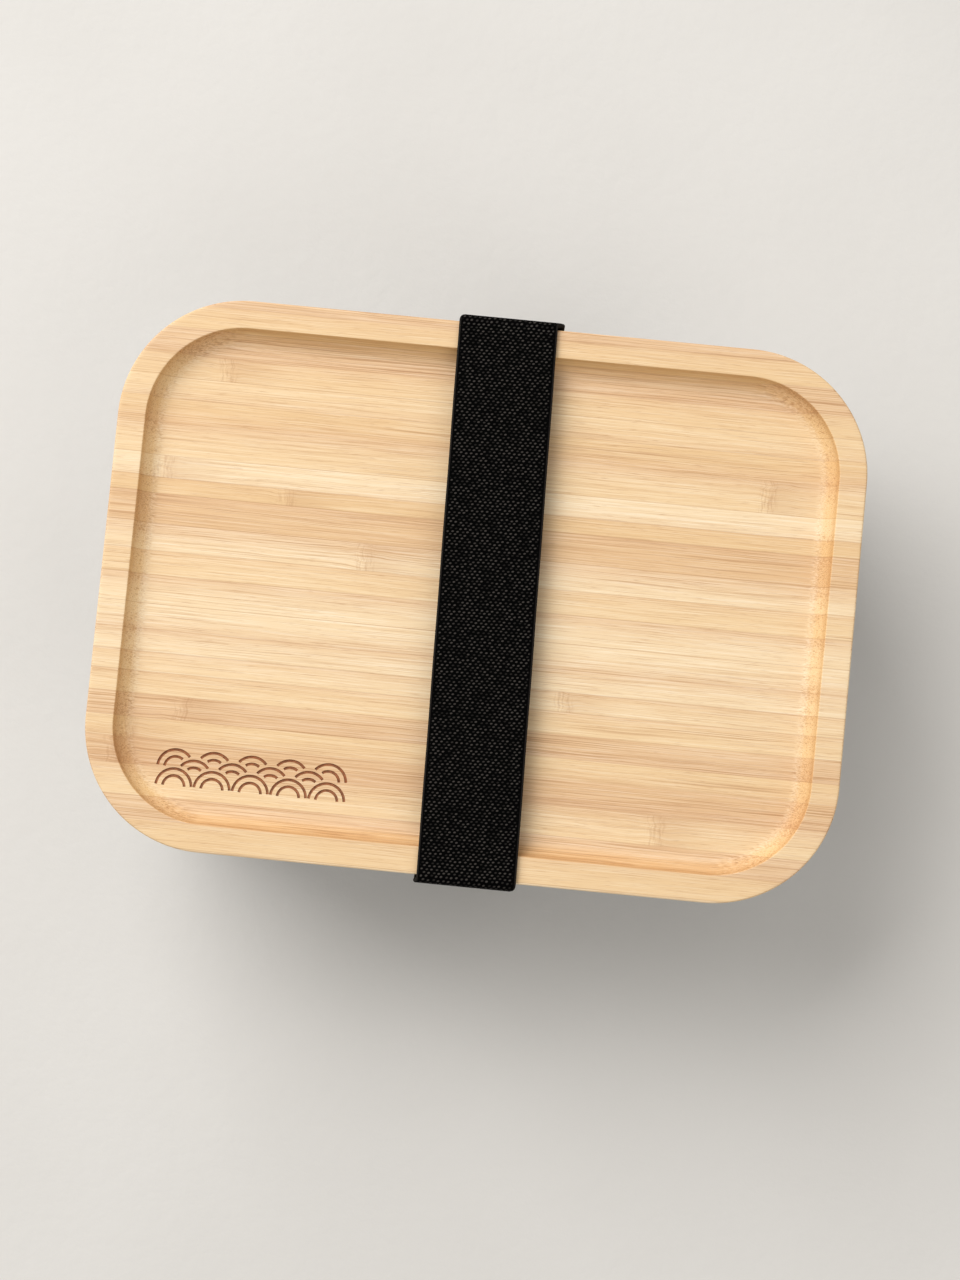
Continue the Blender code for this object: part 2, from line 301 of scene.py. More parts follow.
def finish_shape(obj, angle=35):
    with editing(obj):
        bpy.ops.mesh.select_all(action="SELECT")
        bpy.ops.mesh.remove_doubles(threshold=0.001 * MM)
        bpy.ops.mesh.normals_make_consistent(inside=False)
    bpy.ops.object.shade_smooth_by_angle(angle=math.radians(angle))
    return obj


def add_modifier(obj, kind, **settings):
    made = obj.modifiers.new(kind.lower(), kind)
    for key, value in settings.items():
        setattr(made, key, value)
    select_only(obj)
    bpy.ops.object.modifier_apply(modifier=made.name)


def cut(obj, cutter, **settings):
    add_modifier(
        obj, "BOOLEAN", operation="DIFFERENCE", object=cutter, solver="EXACT", **settings
    )
    bpy.data.objects.remove(cutter)


def break_edges(obj, width, segments, angle):
    """Rounds every edge sharper than the angle, in degrees."""
    add_modifier(
        obj, "BEVEL", width=width, segments=segments, limit_method="ANGLE",
        angle_limit=math.radians(angle),
    )


def arc(inset, z, radius, start, end, steps):
    """(inset, z) levels on an arc; 0 degrees points outwards and 90 degrees up."""
    angles = [math.radians(start + (end - start) * i / steps) for i in range(steps + 1)]
    return [(inset - radius * math.cos(a), z + radius * math.sin(a)) for a in angles]


def step_in(levels):
    """Draws the selected level face inwards through (inset, z) levels, from the first one."""
    up = 1 if selected_normal().z > 0 else -1
    for (inset, z), (next_inset, next_z) in zip(levels[:-1], levels[1:], strict=True):
        if near(inset, next_inset, 0.001 * MM):
            bpy.ops.mesh.extrude_region_move(
                TRANSFORM_OT_translate={"value": (0, 0, next_z - z)}
            )
        else:
            bpy.ops.mesh.inset(thickness=next_inset - inset, depth=up * (next_z - z))


def selected_normal():
    bm = bmesh.from_edit_mesh(bpy.context.object.data)
    return next(face.normal for face in bm.faces if face.select)


def rounded_block(name, inset, low, high, steps=24):
    """A block with the lid's outline moved inwards by inset."""
    size = (LENGTH - 2 * inset, WIDTH - 2 * inset, high - low)
    made = block(name, (0, 0, (low + high) / 2), size)
    with editing(made, "EDGE"):
        pick("edges", upright)
        round_edges(CORNER - inset, steps)
    return made


# ---------------------------------------------------------------- lid


def make_lid():
    lid = rounded_block("lid_board", 0, BOARD_LOW, LID_TOP, steps=32)
    brim_z = LID_TOP - BRIM_ROUND
    cove_z = TRAY_FLOOR + TRAY_COVE
    # The cove and the brim touch where the line between their centres crosses both.
    slant = math.asin((cove_z - brim_z) / (TRAY_COVE + BRIM_ROUND))
    cove_inset = TRAY_RIM + (TRAY_COVE + BRIM_ROUND) * math.cos(slant)
    turn = math.degrees(slant)
    tray = [
        (0, LID_TOP),
        (EDGE_LAND, LID_TOP),
        (TRAY_RIM - BRIM_ROUND, LID_TOP),
        *arc(TRAY_RIM, brim_z, BRIM_ROUND, 90, 180 - turn, 5),
        *arc(cove_inset, cove_z, TRAY_COVE, -turn, -90, 12)[1:],
        (cove_inset + TRAY_LAND, TRAY_FLOOR),
    ]
    plug = [
        (0, BOARD_LOW),
        (EDGE_LAND, BOARD_LOW),
        (PLUG_INSET, BOARD_LOW),
        (PLUG_INSET, GROOVE_HIGH),
        (PLUG_INSET, GROOVE_LOW),
        (PLUG_INSET, PLUG_LOW),
        (PLUG_INSET + PLUG_LAND, PLUG_LOW),
    ]
    groove_middle = (GROOVE_LOW + GROOVE_HIGH) / 2
    with editing(lid):
        pick("faces", facing((0, 0, 1)))
        step_in(tray)
        pick("faces", facing((0, 0, -1)))
        step_in(plug)
        pick("faces", lambda face: near(face.calc_center_median().z, groove_middle, 0.3 * MM))
        swell(-GROOVE_DEPTH)
    with editing(lid, "EDGE"):
        for z in (LID_TOP, BOARD_LOW, PLUG_LOW):
            pick("edges", crisp_edge_at(z))
            round_edges(EDGE_ROUND, 5)
    return finish_shape(lid)


def wave_arcs(columns=5, rows=3):
    """Overlapping rows of arcs, as in the old wave pattern, in millimetres from the pattern's
    lower left corner. Each row stands half a wave behind and to the side of the one before."""
    nearer, arcs = [], []
    for row in range(rows):
        count = columns - row % 2
        centres = [
            (WAVE * (1 + 2 * column + row % 2), WAVE * row / 2) for column in range(count)
        ]
        for x, y in centres:
            for radius in WAVE_ARCS:
                points = []
                for degrees in range(4, 177, 4):
                    turn = math.radians(degrees)
                    point = (x + radius * math.cos(turn), y + radius * math.sin(turn))
                    if all(math.dist(point, other) > WAVE + WAVE_CLEARANCE for other in nearer):
                        points.append(point)
                    elif points:
                        break
                if len(points) > 3:
                    arcs.append(points)
        nearer += centres
    return arcs


def make_wave_cutter():
    """The wave pattern drawn in lines, as a round-bottomed cutter for the tray's floor."""
    left, low = WAVES_LEFT * MM, WAVES_LOW * MM
    curve = new_curve("wave_cutter", LINE_RADIUS * MM, 2)
    for points in wave_arcs():
        place_points(
            curve.splines.new("POLY"),
            [(left + x * MM, low + y * MM, TRAY_FLOOR + 0.02 * MM) for x, y in points],
        )
    return curve_to_mesh(curve)


def make_seal():
    low = GROOVE_LOW + GAP
    high = GROOVE_HIGH - GAP
    back = PLUG_INSET + GROOVE_DEPTH - GAP
    front = PLUG_INSET + GAP
    seal = rounded_block("seal_ring", front, low, high, steps=20)
    with editing(seal):
        for direction in (1, -1):
            pick("faces", facing((0, 0, direction)))
            bpy.ops.mesh.inset(thickness=back - front)
        pick("faces", lambda face: len(face.verts) > 4)
        bpy.ops.mesh.bridge_edge_loops()
        # The lip grows from the upper part of the outer wall.
        pick("faces", lambda face: abs(face.normal.z) < 0.1 and outward(face))
        bpy.ops.mesh.inset(thickness=SEAL_LIP_INSET)
        lip_reach = WALL_TOP_INSET + (WALL_TOP_Z - high) * math.tan(DRAFT) + GAP
        for rise in SEAL_LIP_RISES:
            swell(0.5 * (front - lip_reach))
            bpy.ops.transform.translate(value=(0, 0, rise))
    break_edges(seal, SEAL_ROUND, 3, 40)
    return finish_shape(seal, 50)


def outward(face):
    centre = face.calc_center_median()
    return face.normal.x * centre.x + face.normal.y * centre.y > 0


# ---------------------------------------------------------------- tub


def make_tub():
    draft = math.degrees(DRAFT)
    outer = CURL_INSET - CURL_RADIUS
    tub = rounded_block("tub_shell", outer, CURL_Z - 1 * MM, CURL_Z, steps=32)
    levels = [
        *arc(CURL_INSET, CURL_Z, CURL_RADIUS, 0, 180 - draft, 16),
        *arc(FILLET_INSET, FILLET_Z, FILLET, -draft, -90, 14),
        (FILLET_INSET + FLOOR_LAND, FLOOR_Z),
        (PANEL_INSET, FLOOR_Z),
        (PANEL_INSET + PANEL_SLOPE, PANEL_Z),
        (PANEL_INSET + PANEL_SLOPE + PANEL_LAND, PANEL_Z),
    ]
    with editing(tub):
        pick("faces", lambda face: not facing((0, 0, 1))(face))
        bpy.ops.mesh.delete(type="FACE")
        pick("faces", facing((0, 0, 1)))
        step_in(levels)
    with editing(tub, "EDGE"):
        for z in (FLOOR_Z, PANEL_Z):
            pick(
                "edges",
                lambda edge, level=level_at(z): level(edge)
                and math.radians(15) < edge.calc_face_angle(0) < math.radians(60),
            )
            round_edges(PANEL_ROUND, 3)
        pick("edges", lambda edge: edge.is_boundary)
        inset, z = outer, CURL_Z
        for next_inset, next_z in arc(CURL_INSET, CURL_Z, CURL_RADIUS, 0, -60, 6)[1:]:
            bpy.ops.mesh.extrude_edges_move(TRANSFORM_OT_translate={"value": (0, 0, next_z - z)})
            bpy.ops.transform.resize(
                value=(
                    (LENGTH - 2 * next_inset) / (LENGTH - 2 * inset),
                    (WIDTH - 2 * next_inset) / (WIDTH - 2 * inset),
                    1,
                ),
                center_override=(0, 0, next_z),
            )
            inset, z = next_inset, next_z
    add_modifier(tub, "SOLIDIFY", thickness=SHEET, offset=-1, use_even_offset=True)
    bpy.ops.object.shade_smooth_by_angle(angle=math.radians(40))
    return tub


# ---------------------------------------------------------------- divider


def wall_y(z, inset):
    """Half the tub's inside width at height z on the straight wall, less inset."""
    return WIDTH / 2 - WALL_TOP_INSET - (WALL_TOP_Z - z) * math.tan(DRAFT) - inset


def tub_section_slab(name, inset, top, thickness, steps):
    """A slab across the tub at the divider, with the tub's inside section less inset."""
    low = PANEL_Z + inset
    slab = block(
        name,
        (DIVIDER_X, 0, (low + top) / 2),
        (thickness, 2 * wall_y(top, inset), top - low),
    )
    with editing(slab, "EDGE"):
        pick("faces", facing((0, 0, -1)))
        bpy.ops.transform.resize(
            value=(1, wall_y(low, inset) / wall_y(top, inset), 1), center_override=(0, 0, low)
        )
        pick("edges", lambda edge: level_at(low)(edge) and along_x(edge))
        round_edges(FILLET - inset, steps)
    return slab


def make_plate():
    inset = GAP + TRIM_LAND
    plate = tub_section_slab("divider_sheet", inset, HEM_LOW, PLATE_THICK, 12)
    with editing(plate):
        pick("faces", facing((0, 0, 1)))
        bpy.ops.mesh.extrude_region_move(
            TRANSFORM_OT_translate={"value": (0, 0, 2 * HEM_RADIUS)}
        )
        hem_middle = PLATE_TOP - HEM_RADIUS
        pick(
            "faces",
            lambda face: abs(face.normal.x) > 0.9 and near(face.calc_center_median().z, hem_middle),
        )
        swell(HEM_OVERHANG, even=False)
        bpy.ops.mesh.select_all(action="SELECT")
        bpy.ops.mesh.dissolve_limited(angle_limit=math.radians(1))
    # Each turn stays a little short of half the hem, so that the rounded edges don't meet.
    with editing(plate, "EDGE"):
        for z, turn in ((PLATE_TOP, 0.92 * HEM_RADIUS), (HEM_LOW, 0.85 * HEM_OVERHANG)):
            pick(
                "edges",
                lambda edge, z=z: level_at(z)(edge)
                and all(near(abs(end.co.x - DIVIDER_X), HEM_RADIUS) for end in edge.verts),
            )
            round_edges(turn, 6)
    break_edges(plate, PLATE_ROUND, 2, 50)
    return finish_shape(plate)


def make_trim():
    """A channel of silicone round the plate's two sides and bottom edge."""
    width = TRIM_HIGH.x - TRIM_LOW.x
    above = TRIM_TOP + 2 * MM
    trim = tub_section_slab("trim_channel", GAP, TRIM_TOP, width, 14)
    cut(trim, tub_section_slab("trim_inner", GAP + TRIM_DEPTH, above, 2 * width, 10))
    cut(trim, tub_section_slab("trim_slot", TRIM_LAND, above, PLATE_THICK + 2 * GAP, 12))
    break_edges(trim, TRIM_ROUND, 3, 50)
    return finish_shape(trim, 40)


# ---------------------------------------------------------------- band


def between(start, end, share):
    return tuple(a + (b - a) * share for a, b in zip(start, end, strict=True))


def straight(start, end, steps):
    """The points between start and end, without either."""
    return [between(start, end, i / steps) for i in range(1, steps)]


def side_run(lift):
    """(y, z) along the +Y side, from the base to the top of the fold over the lid's edge."""
    centre_y = WIDTH / 2 - FILLET_INSET
    reach = FILLET + SHEET + GAP
    across, up = BAND_Y - centre_y, BOARD_LOW - FILLET_Z
    lean = math.atan2(across, up) - math.asin(reach / math.hypot(across, up))
    base = arc(0, FILLET_Z, reach + lift, -90, -math.degrees(lean), BASE_STEPS)
    path = [(centre_y - along, z) for along, z in base]
    head = (BAND_Y + lift, BOARD_LOW)
    path += [*straight(path[-1], head, RUN_STEPS), head]
    fold_z = LID_TOP + GAP - BAND_FOLD
    for y, z in straight(head, (head[0], fold_z), 7):
        share = (z - BOARD_LOW) / (fold_z - BOARD_LOW)
        path.append((y + SIDE_BULGE * math.sin(math.pi * share), z))
    fold = arc(0, fold_z, BAND_FOLD + lift, 0, 90, 10)
    path += [(BAND_Y - BAND_FOLD - along, z) for along, z in fold]
    return path


def band_centre(y, z):
    """The band's centre in X: it drifts to -X towards the back, and most at the top."""
    skew = BAND_SKEW_BASE + (BAND_SKEW_TOP - BAND_SKEW_BASE) * z / BAND_TOP
    return BAND_X - skew * y / (WIDTH / 2)


def fold_shift(y, z):
    """The side runs hang a little to one side of the top run: +X at the back, -X in front."""
    if abs(y) < SIDE_Y:
        return 0
    share = min(max((BAND_TOP - BAND_THICK / 2 - z) / FOLD_SHIFT_DROP, 0), 1)
    fade = min(max(z / LID_TOP, 0), 1)
    return share * share * (3 - 2 * share) * fade * (FOLD_SHIFT_BACK if y > 0 else FOLD_SHIFT_FRONT)


def lap_zone():
    """The lowest and highest height of the sewn overlap on the +Y side."""
    low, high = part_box("band_lap")
    return low.z, high.z


def band_path():
    """(y, z) of the strip's middle, from the overlap's outer end once round to its inner end."""
    middle = BAND_THICK / 2
    lap_low, lap_high = lap_zone()
    back = side_run(middle)
    outer = side_run(middle + BAND_THICK + GAP)
    over = [point for point in outer[RUN] if lap_low - CLIMB_END < point[1] < lap_high]
    under = [point for point in back[: RUN.stop] if point[1] < lap_low - CLIMB_START]
    front = [(-y, z) for y, z in back]
    return [
        *over[::-1],
        *under[::-1],
        *straight(under[0], front[0], 36),
        *front,
        *straight(front[-1], back[-1], 48),
        *[point for point in back[::-1] if point[1] > lap_low + INNER_END],
    ]


def smoothed(points, rounds=2):
    for _ in range(rounds):
        points = [
            points[0],
            *[
                ((a[0] + 2 * b[0] + c[0]) / 4, (a[1] + 2 * b[1] + c[1]) / 4)
                for a, b, c in zip(points[:-2], points[1:-1], points[2:], strict=True)
            ],
            points[-1],
        ]
    return points


def webbing_section(columns=22):
    """(across, lift) points round the strip's cross-section, with rounded woven edges."""
    half, thick = BAND_WIDTH / 2, BAND_THICK / 2
    face = [-half + thick + (BAND_WIDTH - 2 * thick) * i / columns for i in range(columns + 1)]
    bend = [math.radians(90 - 180 * i / 6) for i in range(1, 6)]
    right = [(half - thick + thick * math.cos(a), thick * math.sin(a)) for a in bend]
    left = [(-half + thick - thick * math.cos(a), -thick * math.sin(a)) for a in bend]
    return [
        *[(x, thick) for x in face],
        *right,
        *[(x, -thick) for x in reversed(face)],
        *left,
    ]


def make_band():
    path = smoothed(band_path())
    section = webbing_section()
    bm = bmesh.new()
    uv = bm.loops.layers.uv.new("along_band")
    rows, lengths = [], [0.0]
    for index, (y, z) in enumerate(path):
        before, after = path[max(index - 1, 0)], path[min(index + 1, len(path) - 1)]
        along = Vector((0, after[0] - before[0], after[1] - before[1])).normalized()
        out = Vector((0, -along.z, along.y))
        if index:
            lengths.append(lengths[-1] + math.dist(path[index - 1], (y, z)))
        centre = Vector((band_centre(y, z) + fold_shift(y, z), y, z))
        row = []
        for across, lift in section:
            wave = RIPPLE * math.sin(lengths[-1] / RIPPLE_LENGTH) * across / BAND_WIDTH
            row.append(bm.verts.new(centre + Vector((across + wave, 0, 0)) + out * lift))
        rows.append(row)
    count = len(section)
    for index in range(len(rows) - 1):
        for k in range(count):
            n = (k + 1) % count
            face = bm.faces.new(
                (rows[index][k], rows[index][n], rows[index + 1][n], rows[index + 1][k])
            )
            across = [section[k][0], section[n][0], section[n][0], section[k][0]]
            along = [lengths[index], lengths[index], lengths[index + 1], lengths[index + 1]]
            for loop, u, v in zip(face.loops, along, across, strict=True):
                loop[uv].uv = (u, v + BAND_WIDTH / 2)
    for row, length in ((rows[0], lengths[0]), (rows[-1], lengths[-1])):
        cap = bm.faces.new(row)
        for loop, (across, lift) in zip(cap.loops, section, strict=True):
            loop[uv].uv = (length + lift, across + BAND_WIDTH / 2)
    bmesh.ops.recalc_face_normals(bm, faces=bm.faces)
    mesh = bpy.data.meshes.new("elastic_band")
    bm.to_mesh(mesh)
    bm.free()
    band = bpy.data.objects.new("elastic_band", mesh)
    bpy.context.collection.objects.link(band)
    select_only(band)
    bpy.ops.object.shade_smooth_by_angle(angle=math.radians(60))
    return band, lengths[-1]


def make_stitches():
    """The closed rectangle of lockstitches that sews the overlap down."""
    run = side_run(2 * BAND_THICK + GAP)[RUN]
    lap_low, lap_high = lap_zone()
    low, high = lap_low + STITCH_MARGIN, lap_high - STITCH_MARGIN
    reach = BAND_WIDTH / 2 - STITCH_MARGIN

    def on_lap(across, z):
        y, z = between(run[0], run[-1], (z - run[0][1]) / (run[-1][1] - run[0][1]))
        return Vector((band_centre(y, z) + fold_shift(y, z) + across, y, z))

    curve = new_curve("seam_stitches", THREAD_RADIUS, 1)
    curve.resolution_u = 4
    out = Vector((0, 1, -0.2)).normalized()
    corners = [(-reach, low), (reach, low), (reach, high), (-reach, high), (-reach, low)]
    for corner, following in zip(corners[:-1], corners[1:], strict=True):
        count = round(math.dist(corner, following) / STITCH_PITCH)
        for i in range(count):
            start = on_lap(*between(corner, following, (i + STITCH_GAP) / count))
            end = on_lap(*between(corner, following, (i + 1 - STITCH_GAP) / count))
            # Each stitch dives into the webbing at both ends and is highest in the middle.
            shape = ((0, -0.35), (0.12, 0.12), (0.5, 0.2), (0.88, 0.12), (1, -0.35))
            spline = curve.splines.new("NURBS")
            place_points(
                spline, [start + (end - start) * along + out * rise * MM for along, rise in shape]
            )
            spline.use_endpoint_u = True
            spline.order_u = 3
    return finish_shape(curve_to_mesh(curve), 60)


# ---------------------------------------------------------------- node tools


def put(tree, kind, values=None, **settings):
    """Adds a node, with its settings and with numbers, colours or links in its inputs."""
    node = tree.nodes.new("ShaderNode" + kind)
    for key, value in settings.items():
        setattr(node, key, value)
    feed(tree, node, values or {})
    return node


def feed(tree, node, values):
    for key, value in values.items():
        socket = node.inputs[key]
        if isinstance(value, bpy.types.NodeSocket):
            tree.links.new(value, socket)
        else:
            socket.default_value = value


def calc(tree, operation, *values, clamp=False):
    inputs = dict(enumerate(values))
    return put(tree, "Math", inputs, operation=operation, use_clamp=clamp).outputs[0]


def times(tree, a, b):
    return calc(tree, "MULTIPLY", a, b)


def times_plus(tree, a, b, more):
    """a times b, plus more."""
    return calc(tree, "MULTIPLY_ADD", a, b, more)


def split(tree, vector):
    return put(tree, "SeparateXYZ", {0: vector}).outputs


def combine(tree, x, y, z):
    return put(tree, "CombineXYZ", {"X": x, "Y": y, "Z": z}).outputs[0]


def ramp(tree, value, low, high, to_low=0.0, to_high=1.0, smooth=True):
    """Goes from to_low to to_high while value goes from low to high."""
    return put(
        tree, "MapRange",
        {"Value": value, "From Min": low, "From Max": high, "To Min": to_low, "To Max": to_high},
        interpolation_type="SMOOTHSTEP" if smooth else "LINEAR",
    ).outputs[0]


def noise(tree, vector, scale=1.0, detail=2.0, roughness=0.5):
    return put(
        tree, "TexNoise",
        {"Vector": vector, "Scale": scale, "Detail": detail, "Roughness": roughness},
    ).outputs[0]


def blend_colour(tree, factor, first, second, kind="MIX"):
    node = put(tree, "Mix", {0: factor, 6: first, 7: second}, data_type="RGBA", blend_type=kind)
    return node.outputs[2]


def node_group(name, inputs, outputs):
    """A shader node group with named sockets: inputs map a name to a kind and a start value."""
    group = bpy.data.node_groups.new(name, "ShaderNodeTree")
    for socket_name, (kind, value) in inputs.items():
        socket = group.interface.new_socket(
            name=socket_name, in_out="INPUT", socket_type="NodeSocket" + kind
        )
        if value is not None:
            socket.default_value = value
    for socket_name, kind in outputs.items():
        group.interface.new_socket(
            name=socket_name, in_out="OUTPUT", socket_type="NodeSocket" + kind
        )
    return group, group.nodes.new("NodeGroupInput").outputs, group.nodes.new("NodeGroupOutput")


def use_group(tree, group, values):
    return put(tree, "Group", values, node_tree=group).outputs


def new_material(name):
    made = bpy.data.materials.new(name)
    made.use_nodes = True
    tree = made.node_tree
    return made, tree, tree.nodes["Principled BSDF"]


def object_place(tree):
    return put(tree, "TexCoord").outputs["Object"]


def place_and_facing(tree):
    coords = put(tree, "TexCoord").outputs
    return {"Place": coords["Object"], "Facing": coords["Normal"]}


def bump(tree, height, strength, distance):
    values = {"Height": height, "Strength": strength, "Distance": distance}
    return put(tree, "Bump", values).outputs[0]


def finish_with(tree, shader, colour, roughness, normal=None):
    feed(tree, shader, {"Base Color": colour, "Roughness": roughness})
    if normal:
        feed(tree, shader, {"Normal": normal})


# ---------------------------------------------------------------- finishes


def bamboo_board_group():
    """Board glued from bamboo strips that run along X: every strip has its own tone, its fibres
    thicken towards one side, and a few strips show a knuckle. Milled slopes are darker, partly from
    their own tone and partly from painted shade, and fibre ends show as dots where a slope cuts
    across them."""
    group, given, out = node_group(
        "bamboo_board",
        {
            "Place": ("Vector", None),
            "Facing": ("Vector", None),
            "Strip Width": ("Float", 0.0062),
            "Knuckle Spacing": ("Float", 0.62),
            "Cream": ("Color", (0.95, 0.73, 0.46, 1)),
            "Pale": ("Color", (0.91, 0.66, 0.38, 1)),
            "Straw": ("Color", (0.85, 0.575, 0.3, 1)),
            "Rose": ("Color", (0.79, 0.5, 0.28, 1)),
            "Fibre": ("Color", (0.5, 0.25, 0.11, 1)),
        },
        {"Color": "Color", "Roughness": "Float", "Height": "Float"},
    )
    x, y, z = split(group, given["Place"])
    across = calc(group, "DIVIDE", y, given["Strip Width"])
    cells = {"W": across, "Scale": 1.0, "Randomness": 0.75}
    strips = put(group, "TexVoronoi", cells, voronoi_dimensions="1D").outputs
    edges = put(
        group, "TexVoronoi", cells, voronoi_dimensions="1D", feature="DISTANCE_TO_EDGE"
    ).outputs[0]
    # Three random values for every strip, and a seed and a chance of dark lines from them
    tone, slide, flip = put(group, "SeparateColor", {0: strips["Color"]}).outputs
    seed = times_plus(group, tone, 37.0, times(group, slide, 11.0))
    lined = ramp(group, calc(group, "FRACT", times(group, tone, 7.7)), 0.62, 0.9)

    # Which side of the strip a point is on, 0 at the sparse side and 1 at the dense one.
    offset = calc(group, "SUBTRACT", across, strips["W"])
    side = calc(group, "SIGN", calc(group, "SUBTRACT", flip, 0.5))
    dense = calc(group, "MULTIPLY_ADD", times(group, offset, side), 1.0, 0.5, clamp=True)

    # Knuckles: each has a ragged edge and darker wood behind it
    turns = times_plus(group, slide, 7.3, calc(group, "DIVIDE", x, given["Knuckle Spacing"]))
    from_knuckle = times(
        group, calc(group, "SUBTRACT", calc(group, "FRACT", turns), 0.5), given["Knuckle Spacing"]
    )
    ragged = noise(group, combine(group, slide, times(group, y, 520.0), flip))
    from_knuckle = times_plus(group, calc(group, "SUBTRACT", ragged, 0.5), 0.0022, from_knuckle)
    away = calc(group, "ABSOLUTE", from_knuckle)
    swirl_near = ramp(group, away, 0.0, 0.01, 1.0, 0.0)
    knuckle = ramp(group, away, 0.0012, 0.0032, 1.0, 0.0)
    wood_behind = times(
        group,
        ramp(group, from_knuckle, -0.001, 0.001),
        ramp(group, from_knuckle, 0.001, 0.018, 1.0, 0.0),
    )

    # Fibres wander a little along the strip and bend aside at a knuckle.
    def drift(along, sideways):
        place = combine(
            group,
            times_plus(group, x, along, seed), times(group, y, sideways), times(group, z, sideways),
        )
        return calc(group, "SUBTRACT", noise(group, place, detail=1.0), 0.5)

    y_fibre = times_plus(group, drift(9.0, 40.0), 0.0022, y)
    y_fibre = times_plus(group, drift(75.0, 300.0), 0.0004, y_fibre)
    y_fibre = times_plus(group, times(group, drift(150.0, 260.0), swirl_near), 0.0024, y_fibre)

    def stretched(length, size):
        """A place along the fibres, for a pattern of this length and thickness."""
        return combine(
            group,
            times_plus(group, x, 1 / length, seed),
            calc(group, "DIVIDE", y_fibre, size),
            calc(group, "DIVIDE", z, size),
        )

    fine = noise(group, stretched(0.02, 0.00018), detail=3.0, roughness=0.6)
    lines = noise(group, stretched(0.05, 0.00026), roughness=0.55)
    broad = noise(group, stretched(0.08, 0.0015), roughness=0.55)
    flecks = noise(group, stretched(0.0042, 0.00021), detail=1.0, roughness=0.55)
    bundles = put(
        group, "TexVoronoi", {"Vector": stretched(0.045, 0.00062), "Scale": 1.0}
    ).outputs[0]
    reach = times_plus(group, dense, 0.3, 0.25)
    bundle = calc(group, "SUBTRACT", 1.0, calc(group, "DIVIDE", bundles, reach), clamp=True)

    facing_x, _, facing_z = split(group, given["Facing"])
    end_grain = ramp(group, calc(group, "ABSOLUTE", facing_x), 0.12, 0.6)
    level = calc(group, "ABSOLUTE", facing_z)

    # The strip's own tone and its broad bands, then light lines
    body = given["Pale"]
    for amount, colour in (
        (ramp(group, tone, 0.1, 0.42, 0.9, 0.0), "Cream"),
        (ramp(group, tone, 0.5, 0.8, 0.0, 0.95), "Straw"),
        (times(group, lined, 0.6), "Rose"),
        (times(group, calc(group, "POWER", dense, 2.5), 0.5), "Rose"),
        (times(group, ramp(group, broad, 0.44, 0.66), 0.22), "Straw"),
    ):
        body = blend_colour(group, amount, body, given[colour])
    light_line = calc(
        group, "MAXIMUM",
        times(group, ramp(group, fine, 0.47, 0.36), 0.9),
        times(group, ramp(group, lines, 0.42, 0.3), 0.9),
    )
    paler = blend_colour(group, 1.0, body, (1.08, 1.19, 1.4, 1), "MULTIPLY")
    body = blend_colour(group, light_line, body, paler)

    # Everything as dark as the fibres: lines, flecks, cut ends, knuckles and glue
    dark_line = times(group, ramp(group, fine, 0.53, 0.68), times_plus(group, dense, 0.34, 0.3))
    cluster = times(
        group,
        ramp(group, lines, 0.49, 0.66),
        calc(
            group, "MAXIMUM",
            times(group, lined, ramp(group, broad, 0.36, 0.56, 0.3, 0.75)),
            ramp(group, broad, 0.56, 0.7, 0.0, 0.6),
        ),
    )
    fleck = times(group, ramp(group, flecks, 0.6, 0.8), 0.4)
    cut_ends = times(group, bundle, times_plus(group, end_grain, 0.6, 0.1))
    cross = noise(
        group,
        combine(
            group,
            calc(group, "DIVIDE", from_knuckle, 0.0005),
            calc(group, "DIVIDE", y, 0.0034),
            times_plus(group, z, 500.0, seed),
        ),
    )
    cross = times(group, times(group, ramp(group, cross, 0.42, 0.7), knuckle), 0.34)
    glue = ramp(group, edges, 0.008, 0.034, 1.0, 0.0)
    glue_line = times(group, glue, times_plus(group, calc(group, "POWER", flip, 2.0), 0.38, 0.12))
    behind = times(group, wood_behind, 0.2)
    for amount in (dark_line, cluster, fleck, cut_ends, cross, behind, glue_line):
        body = blend_colour(group, amount, body, given["Fibre"])

    # A hollow's slopes face the middle of the board: browner, partly the cut wood's own tone and
    # partly painted shade of the cove, with more painted shade where the slope is nearly upright
    # below the brim.
    inward = put(
        group, "VectorMath", {0: combine(group, x, y, 0.0), 1: given["Facing"]},
        operation="DOT_PRODUCT",
    ).outputs["Value"]
    milled_tone_and_painted_shade = times(group, ramp(group, inward, 0.0, -0.004, 0.3, 1.0), 0.8)
    steep_painted_shade = ramp(group, inward, -0.004, -0.012)
    for amount, tint in (
        (times(group, ramp(group, level, 0.995, 0.82), milled_tone_and_painted_shade), (0.97, 0.87, 0.69, 1)),
        (times(group, ramp(group, level, 0.66, 0.3), steep_painted_shade), (0.88, 0.84, 0.78, 1)),
    ):
        tinted = blend_colour(group, 1.0, body, tint, "MULTIPLY")
        body = blend_colour(group, amount, body, tinted)

    height = times_plus(group, glue, -0.6, times_plus(group, bundle, -0.5, fine))
    rough = times_plus(group, end_grain, 0.08, ramp(group, fine, 0.3, 0.7, 0.46, 0.6))
    feed(group, out, {"Color": body, "Roughness": rough, "Height": height})
    return group


def bamboo(group):
    made, tree, shader = new_material("oiled_bamboo")
    board = use_group(tree, group, place_and_facing(tree))
    normal = bump(tree, board["Height"], 0.35, 0.00012)
    finish_with(tree, shader, board["Color"], board["Roughness"], normal)
    return made


def burnt_bamboo(group):
    """The floor of the engraved lines, browned by the cutter."""
    made, tree, shader = new_material("burnt_bamboo")
    where = place_and_facing(tree)
    board = use_group(tree, group, where)
    scorch = ramp(tree, noise(tree, where["Place"], 900.0), 0.35, 0.65)
    burnt = blend_colour(tree, 0.86, board["Color"], (0.27, 0.065, 0.014, 1))
    shade = blend_colour(tree, scorch, (0.75, 0.75, 0.75, 1), (1.15, 1.15, 1.15, 1))
    burnt = blend_colour(tree, 1.0, burnt, shade, "MULTIPLY")
    finish_with(tree, shader, burnt, 0.8)
    return made


